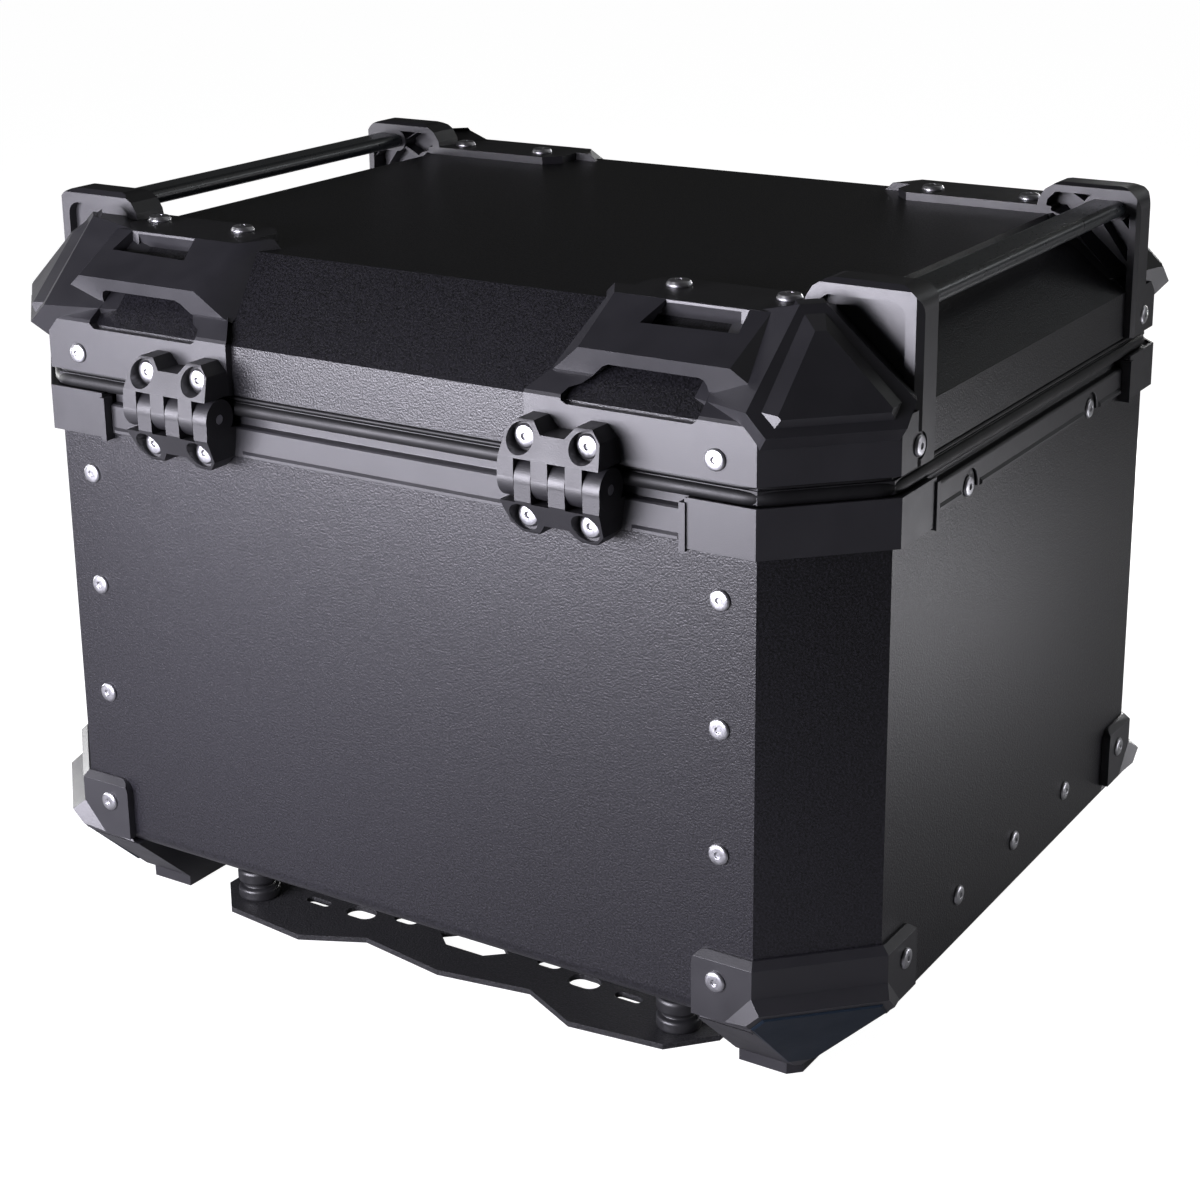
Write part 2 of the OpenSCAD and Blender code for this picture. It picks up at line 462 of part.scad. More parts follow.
// hollow of the bracket's inner side with the ribs that hold the tube
module bracket_hollow() difference() {
  py(110, 137.4, [[212, 330.1], [203, 333], [203.6, 338], [208, 342.4], [241, 342.6], [247, 340], [249.6, 334], [249.6, 292.6]]);
  translate([tube_x, 0, tube_z]) rotate([90, 0, 0]) linear_extrude(600, center = true) { for (s = [-1, 1]) translate([s * (tube_w - tube_h) / 2, 0]) circle(r = tube_h / 2 + 2.4); square([tube_w - tube_h, tube_h + 4.8], center = true); }
  for (r = [[[214, 344], [226, 337]], [[212, 326], [227, 334]], [[232, 330], [250, 306]], [[244, 331], [252, 322]], [[236, 340], [236, 346]]])
    py(128, 138, [r[0], r[0] + [1.4, -1.4], r[1] + [1.4, -1.4], r[1]]);
}
module lid_guard(sx, sy) color([0.12, 0.12, 0.13]) up() quad(sx, sy) difference() {
  union() {
    difference() {
      union() {
        // skirt band round the corner
        intersection() {
          difference() { octz(gt, lid_z0 + 0.02, lid_z1 + 1); octz(0.02, lid_z0 - 1, lid_z1 + 2); }
          union() { translate([88, cb, 0]) cube([300, 300, 400]); translate([ca, 127, 0]) cube([300, 300, 400]); }
        }
        // shelf on the foot of the slope
        intersection() {
          px(88, 206, [[half_w - 12, 290], [half_w + gt, 290], [half_w + gt, 293.4], [half_w + gt - 1, 294.9], [194.2, 303.6], [188, 303.6]]);
          hs([88, 206, 0], [96.4, 194, 0], [88, 206, 10], [150, 200, 0]);
        }
        // strap bar
        intersection() {
          px(94, 206, [[190, 296], [196.4, 303.4], [200, 316], [167, 334.4], [150, 334.4], [150, 325]]);
          hs([113, 200, 316], [96.6, 194.2, 303.6], [112, 167, 334.4], [150, 190, 305]);
          hs([190.4, 200, 316], [207, 196.4, 303.4], [197, 168, 330], [150, 190, 305]);
        }
        // skin between the bar and the corner face
        px(180, 206, [[half_w - 6, 294], [half_w - 6, 300], [half_w - slope_y - 2, lid_z2 + 4.4], [half_w - slope_y - 2, lid_z2 - 4]]);
        // flange on the top panel
        translate([0, 0, lid_z2 + 0.02]) linear_extrude(4.4) polygon([[112, 167], [112, 135], [121, 126], [206, 126], [206, 167]]);
        difference() {
          bracket();
          bracket_hollow();
          // recess on the bracket's outer side
          py(141.4, 170, concat([[204.6, 333.6], [206, 338.2], [209.4, 340.4]], [for (a = [90:-15:0]) [240.6 + 6.8 * cos(a), 333.6 + 6.8 * sin(a)]], [[247.4, 296.6], [247.4, 290], [204, 330]]));
        }
      }
      // recess at the foot of the bar, its lower corners rounded
      py(150, 215, [[107.6, 295], [108, 292.4], [110.6, 290.9], [175.6, 290.9], [178.4, 293], [178.9, 296], [177.6, 306], [176.4, 308.4], [174, 309.4], [127.5, 309.4], [124.4, 308], [114.6, 299.4], [109.4, 297.6]]);
      // strap space behind the bar, up to the slot
      px(122, 178, [[half_w, 291], [165, 326], [167.4, 333], [176, 324], [190, 314], [193, 306], [200, 299]]);
      translate([0, 0, 316]) linear_extrude(30) polygon([[139.6, 167.4], [182, 167.4], [184, 181], [134.4, 182]]);
    }
    // corner face
    difference() { guard_pod(); octz(60, 200, 283.4); }
  }
  // room for the lid itself
  lid_solid(-0.02);
  octz(0.02, 200, lid_z1);
  // tube socket
  translate([tube_x, 0, tube_z]) tube_solid(139.6);
  // holes for the fasteners
  translate([guard_side_x, half_w - 4, 276.8]) rotate([-90, 0, 0]) cylinder(r = shank_r + 0.1, h = 20);
  translate([half_l - 4, 143.4, 276.8]) rotate([0, 90, 0]) { cylinder(r = shank_r + 0.1, h = 20); translate([0, 0, 4 + gt]) cylinder(r = 6.4, h = 9); }
  for (x = [130.6, 187.8]) translate([x, 140.4, lid_z2 - 1]) { cylinder(r = 2.6, h = 12); translate([0, 0, 5.42]) cylinder(r = 7, h = 3.4); }
  if (sy > 0) for (k = [-1, 1]) translate([hinge_x + k * 16.6, 190, 277]) rotate([-90, 0, 0]) cylinder(r = 2.6, h = 30);
}
module lid_guard_fl() lid_guard(-1, -1);
module lid_guard_fr() lid_guard(1, -1);
module lid_guard_rl() lid_guard(-1, 1);
module lid_guard_rr() lid_guard(1, 1);
module lid_guard_side_screws() color([0.8, 0.8, 0.82]) up() at_guard_side(gt) rivet(gt + lid_t);
module lid_guard_top_screws() color([0.85, 0.85, 0.87]) up() at_guard_top() translate([0, 0, 4.42]) rotate_extrude() polygon([[0, -10], [2.5, -10], [2.5, 0], [6.2, 0], [6.2, 1], [5.2, 2.6], [3, 3.2], [1.8, 3.2], [1.6, 1.2], [0, 1.2]]);
module tube_solid(hl) { rotate([90, 0, 0]) linear_extrude(2 * hl, center = true) { for (s = [-1, 1]) translate([s * (tube_w - tube_h) / 2, 0]) circle(r = tube_h / 2); square([tube_w - tube_h, tube_h], center = true); } }
module handle_tube(s) color([0.1, 0.12, 0.13]) up() translate([s * tube_x, 0, tube_z]) tube_solid(139.5);
module handle_tube_left() handle_tube(-1);
module handle_tube_right() handle_tube(1);

// ---- latch on the front ----
bd = 5; bz = -8.7;                         // hook pin from the lever pivot
fy = -half_w;
module fx(x0, x1, p) { translate([0, fy, 0]) mirror([0, 1, 0]) px(x0, x1, p); }   // outline in distance from the wall and Z
module fcyl(x0, x1, d, z, r) { translate([x0, fy - d, z]) rotate([0, 90, 0]) cylinder(r = r, h = x1 - x0); }
module latch_base() color([0.12, 0.12, 0.13]) up() difference() {
  union() {
    fx(-46, 46, [[0.02, 164], [2.5, 162], [2.5, 232], [0.02, 233]]);
    for (s = [-1, 1]) {
      fx(s > 0 ? 40 : -46, s > 0 ? 46 : -40, [[0.02, 166], [9, 166], [17, 176], [17, 220], [9, 231], [0.02, 231]]);
      fx(s > 0 ? 17 : -21, s > 0 ? 21 : -17, [[2, piv_z - 9], [11, piv_z - 8], [13, piv_z - 3], [13, piv_z + 3], [10, piv_z + 6], [2, piv_z + 8]]);
    }
    // keeper for the lock cam
    fx(14.4, 18, [[2, 176], [13.4, 176], [13.4, 190], [2, 190]]);
    fx(9.4, 15, [[10.7, 176], [13.4, 176], [13.4, 190], [10.7, 190]]);
  }
  fcyl(-30, 30, piv_d, piv_z, pin_r);
  for (x = [-34, 34], z = [172, 226]) translate([x, fy - 10, z]) rotate([-90, 0, 0]) cylinder(r = 2.1, h = 12);
}
module latch_base_screws() color([0.8, 0.8, 0.82]) up() for (x = [-34, 34], z = [172, 226]) translate([x, fy - 2.5, z]) rotate([90, 0, 0])
  rotate_extrude() polygon([[0, -7], [2, -7], [2, 0], [4.2, 0], [4.2, 0.8], [3, 2], [0, 2.2]]);
module latch_lever_pin() color([0.7, 0.7, 0.72]) up() fcyl(-21, 21, piv_d, piv_z, pin_r);
module latch_lever() color([0.12, 0.12, 0.13]) up() difference() {
  union() {
    fx(-38, 38, [[17.6, piv_z - 50], [20, piv_z - 53], [24, piv_z - 51], [22, piv_z - 40], [21.6, piv_z - 8], [19.6, piv_z - 3], [17.6, piv_z - 3]]);
    for (s = [-1, 1]) fx(s > 0 ? 12 : -16.6, s > 0 ? 16.6 : -12, [[piv_d - 4.4, piv_z - 3], [piv_d - 2, piv_z - 7], [piv_d + bd - 4, piv_z + bz - 5], [18.6, piv_z + bz - 7], [18.6, piv_z - 3.2], [14, piv_z + 2], [piv_d + 2, piv_z + 4.6], [piv_d - 2, piv_z + 4.6], [piv_d - 4.4, piv_z + 1]]);
    // boss for the lock
    translate([0, fy - 12, 183]) rotate([90, 0, 0]) cylinder(r = 8.7, h = 6);
  }
  fx(-11.4, 11.4, [[10, piv_z - 20], [30, piv_z - 20], [30, piv_z + 5], [10, piv_z + 5]]);
  fcyl(-30, 30, piv_d, piv_z, pin_r + 0.05);
  fcyl(-30, 30, piv_d + bd, piv_z + bz, 2);
  translate([0, fy - 5, 183]) rotate([90, 0, 0]) cylinder(r = 7.05, h = 40);
  translate([0, fy - 22.05, 183]) rotate([90, 0, 0]) cylinder(r = 9.3, h = 10);
}
module latch_hook_pin() color([0.7, 0.7, 0.72]) up() fcyl(-16.6, 16.6, piv_d + bd, piv_z + bz, 2);
module latch_hook() color([0.5, 0.5, 0.52]) up() difference() {
  union() {
    fx(-10, 10, [[11.5, piv_z + bz], [14.5, piv_z + bz], [14.5, 290], [12.5, 291], [3, 291], [3, 288.5], [4, 285.4], [11.5, 285.4]]);
    fcyl(-10, 10, piv_d + bd, piv_z + bz, 4.6);
  }
  fcyl(-30, 30, piv_d + bd, piv_z + bz, 2.05);
}
module lock_barrel() color([0.75, 0.75, 0.77]) up() difference() {
  union() {
    translate([0, fy - 10.2, 183]) rotate([90, 0, 0]) cylinder(r = 7, h = 11.9);
    translate([0, fy - 22.1, 183]) rotate([90, 0, 0]) cylinder(r = 9, h = 1.4);
  }
  translate([-0.9, fy - 30, 179]) cube([1.8, 12, 8]);
}
module lock_cam() color([0.7, 0.7, 0.72]) up() union() {
  translate([0, fy - 7.5, 183]) rotate([90, 0, 0]) cylinder(r = 4, h = 2.7);
  translate([-4, fy - 10.2, 183]) cube([8, 2.7, 12]);
}
module latch_catch() color([0.12, 0.12, 0.13]) up() difference() {
  fx(-15, 15, [[0.02, 271], [5, 271], [9, 275], [9, 285], [0.02, 285]]);
  for (x = [-9, 9]) translate([x, fy - 8, 279]) rotate([-90, 0, 0]) cylinder(r = 2.1, h = 15);
  for (x = [-9, 9]) translate([x, fy - 20, 279]) rotate([-90, 0, 0]) cylinder(r = 4.3, h = 14);
}
module latch_catch_screws() color([0.8, 0.8, 0.82]) up() for (x = [-9, 9]) translate([x, fy - 6, 279]) rotate([90, 0, 0])
  rotate_extrude() polygon([[0, -11], [2, -11], [2, 0], [4, 0], [4, 0.8], [3, 2], [0, 2.2]]);

body_wrap();
end_panel_left();
end_panel_right();
body_rivets();
rim_corner_fl();
rim_corner_fr();
rim_corner_rl();
rim_corner_rr();
rim_strip_front();
rim_strip_rear();
rim_strip_left();
rim_strip_right();
rim_rivets();
foot_guard_fl();
foot_guard_fr();
foot_guard_rl();
foot_guard_rr();
foot_guard_rivets();
mounting_plate();
plate_pucks();
plate_bolts();
plate_nuts();
plate_washers();
floor_liner();
hinge_lower_left();
hinge_lower_right();
hinge_pin_left();
hinge_pin_right();
hinge_lower_screws();
latch_base();
latch_base_screws();
latch_lever_pin();
lid_shell();
lid_inner_frame();
lid_gasket();
lid_guard_fl();
lid_guard_fr();
lid_guard_rl();
lid_guard_rr();
lid_guard_side_screws();
lid_guard_top_screws();
handle_tube_left();
handle_tube_right();
hinge_upper_left();
hinge_upper_right();
hinge_upper_screws();
latch_catch();
latch_catch_screws();
latch_lever();
latch_hook_pin();
latch_hook();
lock_barrel();
lock_cam();
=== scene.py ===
import bpy, bmesh, math, json
from mathutils import Vector, Matrix


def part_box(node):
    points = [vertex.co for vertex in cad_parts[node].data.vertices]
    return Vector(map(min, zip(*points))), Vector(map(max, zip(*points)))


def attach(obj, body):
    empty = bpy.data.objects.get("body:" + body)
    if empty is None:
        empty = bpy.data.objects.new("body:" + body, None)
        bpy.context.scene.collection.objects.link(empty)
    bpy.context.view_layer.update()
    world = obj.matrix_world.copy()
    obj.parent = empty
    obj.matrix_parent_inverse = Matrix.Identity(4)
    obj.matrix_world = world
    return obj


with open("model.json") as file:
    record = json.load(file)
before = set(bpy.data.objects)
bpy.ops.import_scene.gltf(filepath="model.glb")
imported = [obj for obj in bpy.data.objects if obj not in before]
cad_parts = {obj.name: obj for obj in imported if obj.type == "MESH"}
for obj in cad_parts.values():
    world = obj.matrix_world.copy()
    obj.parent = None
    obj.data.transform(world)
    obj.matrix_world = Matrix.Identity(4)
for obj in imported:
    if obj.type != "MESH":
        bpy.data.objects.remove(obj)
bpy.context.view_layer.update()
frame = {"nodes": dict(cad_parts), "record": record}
NODES = frame["nodes"]
BODY_OF = {n: b for b, ns in frame["record"]["behaviour"]["bodies"].items() for n in ns}


# ------------------------------------------------------------------ camera
def camera():
    az, el, dist, roll = math.radians(212.2976), math.radians(16.7743), 1.293712, math.radians(-0.5969)
    target = Vector((0.003164, 0.0, 0.240498))
    d = Vector((math.sin(az) * math.cos(el), -math.cos(az) * math.cos(el), math.sin(el)))
    c = target + d * dist
    f = -d
    r = f.cross(Vector((0, 0, 1))).normalized()
    u = r.cross(f)
    r2 = r * math.cos(roll) + u * math.sin(roll)
    u2 = -r * math.sin(roll) + u * math.cos(roll)
    m = Matrix((r2, u2, -f)).transposed().to_4x4()
    m.translation = c
    cam = bpy.data.cameras.new("camera")
    cam.sensor_width = 36.0
    cam.lens = 2329.41 / 1200 * 36.0
    cam.shift_x, cam.shift_y = 0.0014, -0.12
    cam.clip_end = 50
    o = bpy.data.objects.new("camera", cam)
    o.matrix_world = m
    bpy.context.scene.collection.objects.link(o)
    bpy.context.scene.camera = o


camera()


# --------------------------------------------------------------- materials
def node_mat(name):
    m = bpy.data.materials.new(name)
    m.use_nodes = True
    t = m.node_tree
    for n in list(t.nodes):
        t.nodes.remove(n)
    out = t.nodes.new("ShaderNodeOutputMaterial")
    b = t.nodes.new("ShaderNodeBsdfPrincipled")
    t.links.new(b.outputs[0], out.inputs[0])
    tc = t.nodes.new("ShaderNodeTexCoord")
    return m, t, b, tc.outputs["Object"]


def noise(t, co, scale, detail=2.0, rough=0.5):
    n = t.nodes.new("ShaderNodeTexNoise")
    n.inputs["Scale"].default_value = scale
    n.inputs["Detail"].default_value = detail
    n.inputs["Roughness"].default_value = rough
    t.links.new(co, n.inputs["Vector"])
    return n.outputs["Fac"]


def ramp(t, src, stops):
    r = t.nodes.new("ShaderNodeValToRGB")
    cr = r.color_ramp
    while len(cr.elements) < len(stops):
        cr.elements.new(0.5)
    for e, (p, c) in zip(cr.elements, stops):
        e.position = p
        e.color = (*c, 1) if isinstance(c, tuple) else (c, c, c, 1)
    t.links.new(src, r.inputs[0])
    return r.outputs[0]


def mathn(t, op, a, b):
    n = t.nodes.new("ShaderNodeMath")
    n.operation = op
    for i, v in enumerate((a, b)):
        if hasattr(v, "is_linked") or hasattr(v, "links"):
            t.links.new(v, n.inputs[i])
        else:
            n.inputs[i].default_value = v
    return n.outputs[0]


def bump(t, b, height, strength, dist):
    n = t.nodes.new("ShaderNodeBump")
    n.inputs["Strength"].default_value = strength
    n.inputs["Distance"].default_value = dist
    t.links.new(height, n.inputs["Height"])
    t.links.new(n.outputs[0], b.inputs["Normal"])


def edges(t, radius):
    # how much a point lies on a convex edge, for wear and polish there
    g = t.nodes.new("ShaderNodeNewGeometry")
    return ramp(t, g.outputs["Pointiness"], [(0.5, 0.0), (0.56, 1.0)])


def powder(name, lo, hi, rough=(0.31, 0.37), grain=1000, strength=0.45):
    m, t, b, co = node_mat(name)
    big = noise(t, co, 3, 1)
    fine = noise(t, co, grain, 2, 0.6)
    mix = mathn(t, "ADD", mathn(t, "MULTIPLY", big, 0.25), mathn(t, "MULTIPLY", fine, 0.75))
    t.links.new(ramp(t, mix, [(0.38, tuple(c * 0.3 for c in lo)), (0.62, tuple(c * 2.1 for c in hi))]), b.inputs["Base Color"])
    t.links.new(ramp(t, noise(t, co, grain * 0.8, 2, 0.6), [(0.36, rough[0]), (0.64, rough[1])]), b.inputs["Roughness"])
    h = mathn(t, "ADD", fine, mathn(t, "MULTIPLY", noise(t, co, grain * 0.38, 3), 0.4))
    bump(t, b, h, strength, 0.0005)
    return m


def moulding(name, lo, hi, rough=(0.36, 0.5), grain=1900, strength=0.16, spec=0.55):
    m, t, b, co = node_mat(name)
    fine = noise(t, co, grain, 2, 0.55)
    big = noise(t, co, 22, 3)
    t.links.new(ramp(t, big, [(0.3, lo), (0.7, hi)]), b.inputs["Base Color"])
    t.links.new(ramp(t, noise(t, co, 60, 4), [(0.3, rough[0]), (0.7, rough[1])]), b.inputs["Roughness"])
    bump(t, b, fine, strength, 0.00022)
    b.inputs["Specular IOR Level"].default_value = spec
    return m


def metal(name, lo, hi, rough=(0.18, 0.34), scratch=900):
    m, t, b, co = node_mat(name)
    b.inputs["Metallic"].default_value = 1.0
    t.links.new(ramp(t, noise(t, co, 240, 4), [(0.3, lo), (0.7, hi)]), b.inputs["Base Color"])
    t.links.new(ramp(t, noise(t, co, scratch, 3), [(0.3, rough[0]), (0.7, rough[1])]), b.inputs["Roughness"])
    bump(t, b, noise(t, co, scratch * 1.6, 2), 0.03, 0.00005)
    return m


def rubber(name):
    m, t, b, co = node_mat(name)
    t.links.new(ramp(t, noise(t, co, 90, 4), [(0.3, (0.006, 0.006, 0.007)), (0.7, (0.014, 0.014, 0.015))]), b.inputs["Base Color"])
    t.links.new(ramp(t, noise(t, co, 130, 3), [(0.3, 0.34), (0.7, 0.5)]), b.inputs["Roughness"])
    bump(t, b, noise(t, co, 1100, 2), 0.1, 0.0002)
    return m


def felt(name):
    m, t, b, co = node_mat(name)
    f = noise(t, co, 700, 5, 0.7)
    t.links.new(ramp(t, f, [(0.3, (0.02, 0.02, 0.022)), (0.7, (0.06, 0.06, 0.065))]), b.inputs["Base Color"])
    b.inputs["Roughness"].default_value = 0.95
    b.inputs["Sheen Weight"].default_value = 0.4
    bump(t, b, f, 0.5, 0.0008)
    return m


def tube_mat(name):
    m, t, b, co = node_mat(name)
    b.inputs["Specular IOR Level"].default_value = 1.0
    t.links.new(ramp(t, noise(t, co, 30, 3), [(0.3, (0.010, 0.015, 0.018)), (0.7, (0.016, 0.022, 0.026))]), b.inputs["Base Color"])
    t.links.new(ramp(t, noise(t, co, 420, 3), [(0.3, 0.26), (0.7, 0.38)]), b.inputs["Roughness"])
    b.inputs["Coat Weight"].default_value = 0.25
    b.inputs["Coat Roughness"].default_value = 0.2
    bump(t, b, noise(t, co, 1600, 2), 0.07, 0.0002)
    return m


MATS = {
    "powder_coat": powder("powder_coat", (0.0040, 0.0039, 0.0052), (0.0064, 0.0061, 0.0080)),
    "lid_coat": powder("lid_coat", (0.0034, 0.0033, 0.0043), (0.0052, 0.0050, 0.0064), rough=(0.32, 0.37), strength=0.5),
    "moulding": moulding("moulding", (0.0080, 0.0078, 0.0098), (0.0120, 0.0117, 0.0145), rough=(0.40, 0.47), spec=0.75),
    "hinge_moulding": moulding("hinge_moulding", (0.0058, 0.0056, 0.0070), (0.0090, 0.0087, 0.0108), rough=(0.44, 0.54), grain=1300, strength=0.34, spec=0.7),
    "zinc": metal("zinc", (0.36, 0.36, 0.375), (0.56, 0.56, 0.58), (0.30, 0.40)),
    "steel": metal("steel", (0.42, 0.42, 0.44), (0.6, 0.6, 0.62), (0.28, 0.42)),
    "rubber": rubber("rubber"),
    "tube": tube_mat("tube"),
    "plate": powder("plate", (0.008, 0.008, 0.009), (0.013, 0.013, 0.014), rough=(0.38, 0.5)),
    "liner": felt("liner"),
    "bead": moulding("bead", (0.004, 0.004, 0.0045), (0.0065, 0.0065, 0.007), rough=(0.46, 0.56), grain=700, strength=0.25, spec=0.35),
    "foot_gloss": moulding("foot_gloss", (0.010, 0.017, 0.027), (0.014, 0.023, 0.036), rough=(0.34, 0.42), grain=1600, strength=0.08, spec=0.12),
}
slots = {s["node"]: s["material_slot"] for s in frame["record"]["subparts"]}


def mat_for(n):
    if n.startswith("hinge_") and slots[n] == "moulding":
        return MATS["hinge_moulding"]
    if n == "lid_shell":
        return MATS["lid_coat"]
    return MATS[slots[n]]


BEVEL = {"powder_coat": 0.0007, "moulding": 0.0009, "zinc": 0.00025, "steel": 0.0003, "rubber": 0.0005,
         "plate": 0.0004, "liner": 0.0006, "tube": 0.0004}
for n, o in NODES.items():
    o.data.materials.clear()
    o.data.materials.append(mat_for(n))
    s = slots[n]
    w = o.modifiers.new("weld", "WELD")
    w.merge_threshold = 0.00002
    d = o.modifiers.new("flat", "DECIMATE")
    d.decimate_type = "DISSOLVE"
    d.angle_limit = math.radians(0.8)
    b = o.modifiers.new("bevel", "BEVEL")
    b.width = BEVEL[s]
    b.segments = 3 if s == "moulding" else 2
    b.limit_method = "ANGLE"
    b.angle_limit = math.radians(12)
    b.use_clamp_overlap = True
    b.miter_outer = "MITER_SHARP"
    b.harden_normals = False
    q = o.modifiers.new("normals", "WEIGHTED_NORMAL")
    q.mode = "FACE_AREA"
    q.weight = 100
    q.keep_sharp = False


# ------------------------------------------------------- visual-only details
HALF_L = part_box("body_wrap")[1][0] + 0.0015
HALF_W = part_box("body_wrap")[1][1]
LEG = 0.044
ZB = 0.045


def octagon(g):
    a, b, c = HALF_L + g, HALF_W + g, LEG + g * (2 - math.sqrt(2))
    return [(a - c, b), (-(a - c), b), (-a, b - c), (-a, -(b - c)), (-(a - c), -b), (a - c, -b), (a, -(b - c)), (a, b - c)]


def piece(name, bm, mat, body, smooth=True):
    me = bpy.data.meshes.new(name)
    bmesh.ops.recalc_face_normals(bm, faces=bm.faces)
    bm.to_mesh(me)
    bm.free()
    me.materials.append(mat)
    for p in me.polygons:
        p.use_smooth = smooth
    o = bpy.data.objects.new(name, me)
    bpy.context.scene.collection.objects.link(o)
    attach(o, body)
    return o


def bead(name, profile, mat, body):
    # a closed rubber profile swept round the octagon, with small corner radii
    path = []
    pts = octagon(0.0)
    k = len(pts)
    for i in range(k):
        p0, p1, p2 = Vector(pts[i - 1]), Vector(pts[i]), Vector(pts[(i + 1) % k])
        d0, d1 = (p0 - p1).normalized(), (p2 - p1).normalized()
        c = 0.010
        for t in [j / 6 for j in range(7)]:
            a = p1 + d0 * c * (1 - t)
            b = p1 + d1 * c * t
            path.append(a.lerp(b, t))
    bm = bmesh.new()
    n = len(path)
    rings = []
    for i in range(n):
        tan = (path[(i + 1) % n] - path[i - 1]).normalized()
        nor = Vector((-tan.y, tan.x))
        if nor.dot(path[i]) < 0:
            nor = -nor
        rings.append([bm.verts.new((path[i].x + nor.x * g, path[i].y + nor.y * g, z)) for g, z in profile])
    m = len(profile)
    for i in range(n):
        a, b = rings[i], rings[(i + 1) % n]
        for j in range(m):
            bm.faces.new((a[j], a[(j + 1) % m], b[(j + 1) % m], b[j]))
    return piece(name, bm, mat, body)


def round_profile(g0, z0, rg, rz, n=18):
    return [(g0 + rg * math.cos(2 * math.pi * i / n), z0 + rz * math.sin(2 * math.pi * i / n)) for i in range(n)]


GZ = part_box("lid_gasket")
bead("gasket_bead", round_profile(-0.0002, GZ[0][2] + 0.0030, 0.0027, 0.0034), MATS["bead"], BODY_OF["lid_gasket"])
bead("gasket_upper_bead", round_profile(-0.0006, GZ[0][2] + 0.0081, 0.0012, 0.0011), MATS["bead"], BODY_OF["lid_gasket"])


def corner_frame(sx, sy):
    # unit vectors of a corner: along the chamfer, outward, and the chamfer's middle
    ca, cb = HALF_L - LEG, HALF_W - LEG
    mid = Vector(((ca + HALF_L) / 2 * sx, (HALF_W + cb) / 2 * sy, 0))
    out = Vector((sx, sy, 0)).normalized()
    along = Vector((sx, -sy, 0)).normalized()
    return mid, out, along


def prism(name, outline, depth, mat, body, inset=0.0):
    # a thin bevelled plate on a plane: outline is a list of points, the front is inset
    bm = bmesh.new()
    c = sum(outline, Vector()) / len(outline)
    nrm = (outline[1] - outline[0]).cross(outline[2] - outline[0]).normalized() * depth[2]
    back = [bm.verts.new(p - nrm * depth[0]) for p in outline]
    side = [bm.verts.new(p + nrm * (depth[1] * 0.35)) for p in outline]
    front = [bm.verts.new(p + (c - p).normalized() * inset + nrm * depth[1]) for p in outline]
    k = len(outline)
    bm.faces.new(back[::-1])
    bm.faces.new(front)
    for a, b in ((back, side), (side, front)):
        for i in range(k):
            bm.faces.new((a[i], a[(i + 1) % k], b[(i + 1) % k], b[i]))
    return piece(name, bm, mat, body, smooth=False)


# the lower lip of the rim strips, a low ridge along their bottom edge
def lip(name, p0, p1, out, body):
    bm = bmesh.new()
    run = (p1 - p0).normalized() * 0.0010
    up = Vector((0, 0, 1))
    rings = []
    for d, ins, h0, h1 in ((-0.0005, 0, 0.0, 0.0032), (0.0001, 0, 0.0, 0.0032), (0.0011, 1, 0.0005, 0.0019)):
        rings.append([bm.verts.new(q + out * d + up * h) for q, h in (
            (p0 + run * ins, h0), (p1 - run * ins, h0), (p1 - run * ins, h1), (p0 + run * ins, h1))])
    for a, b in zip(rings, rings[1:]):
        for k in range(4):
            bm.faces.new((a[k], a[(k + 1) % 4], b[(k + 1) % 4], b[k]))
    bm.faces.new(rings[0][::-1])
    bm.faces.new(rings[-1])
    bmesh.ops.recalc_face_normals(bm, faces=bm.faces[:])
    return piece(name, bm, MATS["moulding"], body, smooth=False)


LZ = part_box("rim_strip_rear")[0][2]
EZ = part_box("rim_strip_left")[0][2]
YO, XO = HALF_W + 0.0014, HALF_L + 0.0014
for tag, x0, x1 in (("a", -0.1685, -0.1432), ("b", -0.0828, 0.0828), ("c", 0.1432, 0.1685)):
    lip("rim_lip_rear_" + tag, Vector((x0, YO, LZ)), Vector((x1, YO, LZ)), Vector((0, 1, 0)), BODY_OF["rim_strip_rear"])
for tag, sx in (("left", -1), ("right", 1)):
    for k, y0, y1 in (("a", -0.121, -0.089), ("b", -0.067, 0.067), ("c", 0.089, 0.121)):
        lip("rim_lip_%s_%s" % (tag, k), Vector((sx * XO, y0, EZ)), Vector((sx * XO, y1, EZ)), Vector((sx, 0, 0)), BODY_OF["rim_strip_" + tag])

# dark glossy faces of the feet, on the slanted face of each foot guard
for sx, sy, tag in ((-1, -1, "fl"), (1, -1, "fr"), (-1, 1, "rl"), (1, 1, "rr")):
    mid, out, along = corner_frame(sx, sy)

    def fp(u, n, z):
        return mid + along * u / 1000 + out * n / 1000 + Vector((0, 0, ZB + z / 1000))
    # the slanted face runs from 11.6 mm out at 15.9 to 27.8 mm in at -38
    def face(u, z):
        return fp(u, 11.6 - (15.9 - z) * (39.4 / 53.9), z)
    half = lambda z: 31.5 + (z - 15.9) * 0.0
    o = [face(-29.0, 13.0), face(29.0, 13.0), face(33.0, 6.0), face(6.5, -30.5), face(-6.5, -30.5), face(-33.0, 6.0)]
    s = 1 if (o[1] - o[0]).cross(o[2] - o[0]).dot(out) > 0 else -1
    prism("foot_face_" + tag, o, (0.0005, 0.0009, s), MATS["foot_gloss"], BODY_OF["foot_guard_" + tag], inset=0.0012)


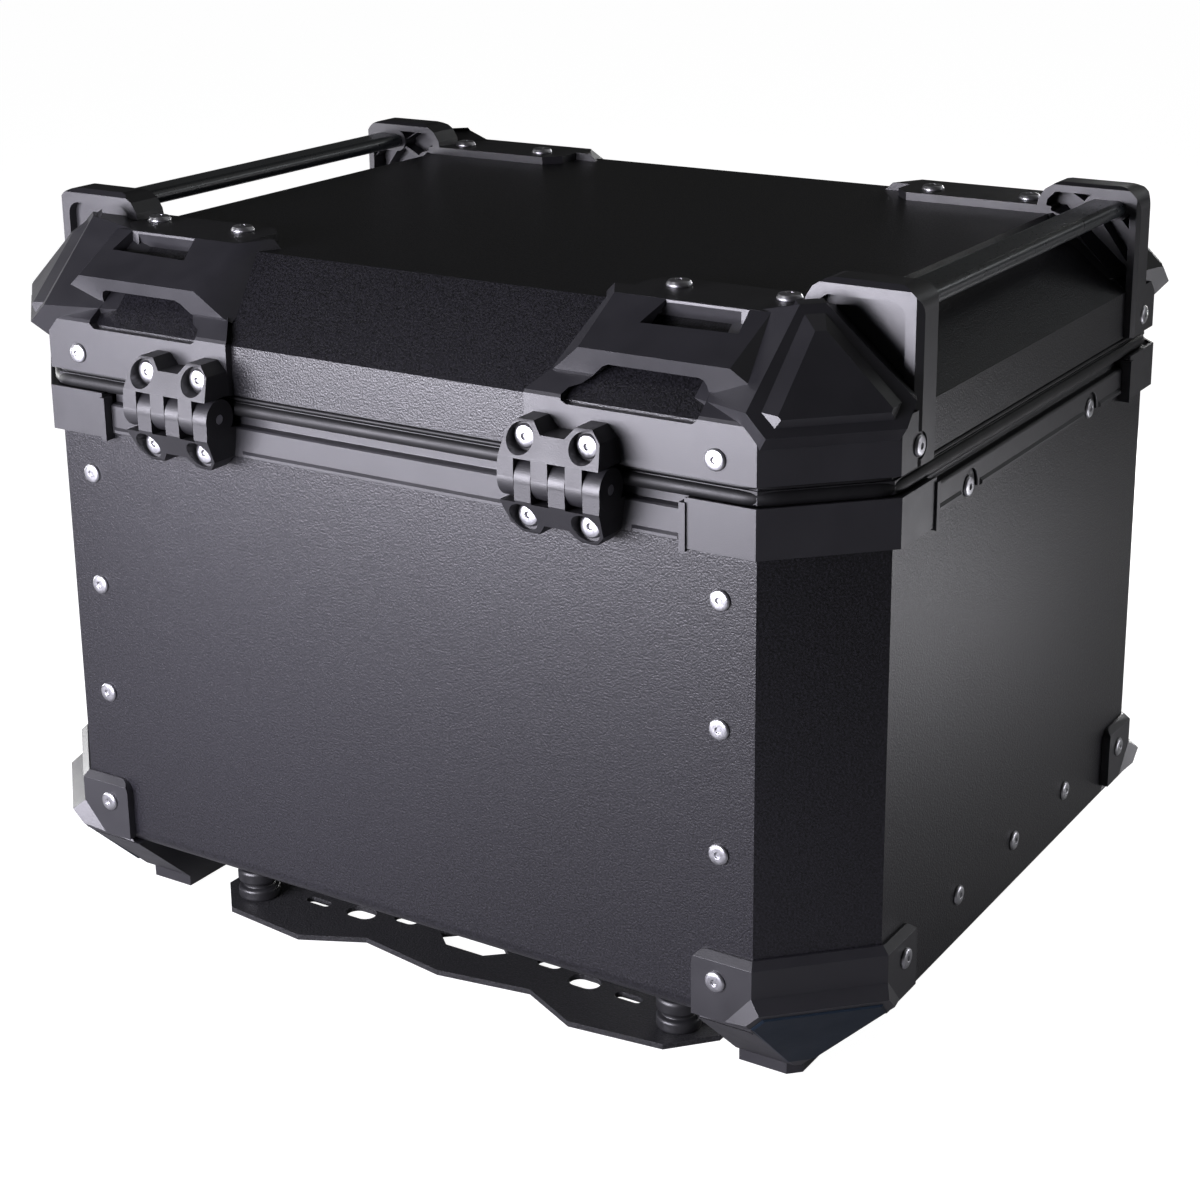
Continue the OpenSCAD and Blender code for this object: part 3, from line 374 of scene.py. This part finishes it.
# ------------------------------------------------------------ floor, light
def stage():
    me = bpy.data.meshes.new("floor")
    bm = bmesh.new()
    bmesh.ops.create_grid(bm, x_segments=1, y_segments=1, size=14)
    bm.to_mesh(me)
    bm.free()
    o = bpy.data.objects.new("floor", me)
    o.location = (0, 0, -0.0002)
    m, t, b, co = node_mat("floor")
    b.inputs["Base Color"].default_value = (0.22, 0.22, 0.223, 1)
    b.inputs["Roughness"].default_value = 0.95
    b.inputs["Specular IOR Level"].default_value = 0.1
    b.inputs["Emission Color"].default_value = (1, 1, 1, 1)
    lf = t.nodes.new("ShaderNodeLightPath")
    ms = t.nodes.new("ShaderNodeMapRange")
    ms.inputs["To Min"].default_value = 0.03
    ms.inputs["To Max"].default_value = 0.98
    t.links.new(lf.outputs["Is Camera Ray"], ms.inputs["Value"])
    t.links.new(ms.outputs[0], b.inputs["Emission Strength"])
    me.materials.append(m)
    bpy.context.scene.collection.objects.link(o)
    # the room looks white, and gives the case only a dim even light
    w = bpy.data.worlds.new("world")
    w.use_nodes = True
    t = w.node_tree
    bg = t.nodes["Background"]
    lp = t.nodes.new("ShaderNodeLightPath")
    mr = t.nodes.new("ShaderNodeMapRange")
    mr.inputs["To Min"].default_value = 0.035
    mr.inputs["To Max"].default_value = 1.0
    t.links.new(lp.outputs["Is Camera Ray"], mr.inputs["Value"])
    t.links.new(mr.outputs[0], bg.inputs[1])
    bg.inputs[0].default_value = (1, 1, 1, 1)
    bpy.context.scene.world = w
    bpy.context.scene.view_settings.view_transform = "Standard"


def area(name, loc, target, size, energy, color=(1, 1, 1)):
    l = bpy.data.lights.new(name, "AREA")
    l.shape = "RECTANGLE"
    l.size, l.size_y = size
    l.energy = energy
    l.color = color
    o = bpy.data.objects.new(name, l)
    o.location = loc
    o.rotation_euler = (Vector(target) - Vector(loc)).to_track_quat("-Z", "Y").to_euler()
    o.visible_camera = False
    bpy.context.scene.collection.objects.link(o)


stage()
area("key", (0.32, 1.02, 0.36), (-0.05, 0.1, 0.25), (0.78, 0.36), 32, (0.91, 0.885, 1.0))
area("side", (-1.75, -1.45, 0.36), (0, 0, 0.2), (1.0, 0.55), 3, (0.96, 0.95, 1.0))
area("near", (-0.62, -0.26, 0.08), (-0.25, 0.14, 0.07), (0.30, 0.13), 0.62, (0.95, 0.94, 1.0))
area("tube", (-1.30, -2.00, 1.35), (-0.2, 0, 0.33), (0.8, 0.3), 1.8, (0.93, 0.97, 1.0))
area("top", (-0.9, -1.3, 2.6), (0, 0, 0), (2.4, 2.4), 4)
area("edge", (0.56, 1.00, 1.40), (-0.1, 0.2, 0.3), (0.4, 0.2), 0.8)
area("fill_x", (1.85, 0.35, 0.85), (0, 0, 0.2), (0.7, 0.4), 4)
area("front", (0.09, -1.02, 0.20), (0.09, -0.2, 0.2), (0.6, 0.2), 12)
area("right", (1.05, 0.12, 0.20), (0.25, 0, 0.2), (0.3, 0.2), 5)
area("fill_y", (0.10, -2.40, 0.55), (0, 0, 0.3), (0.8, 0.3), 8)
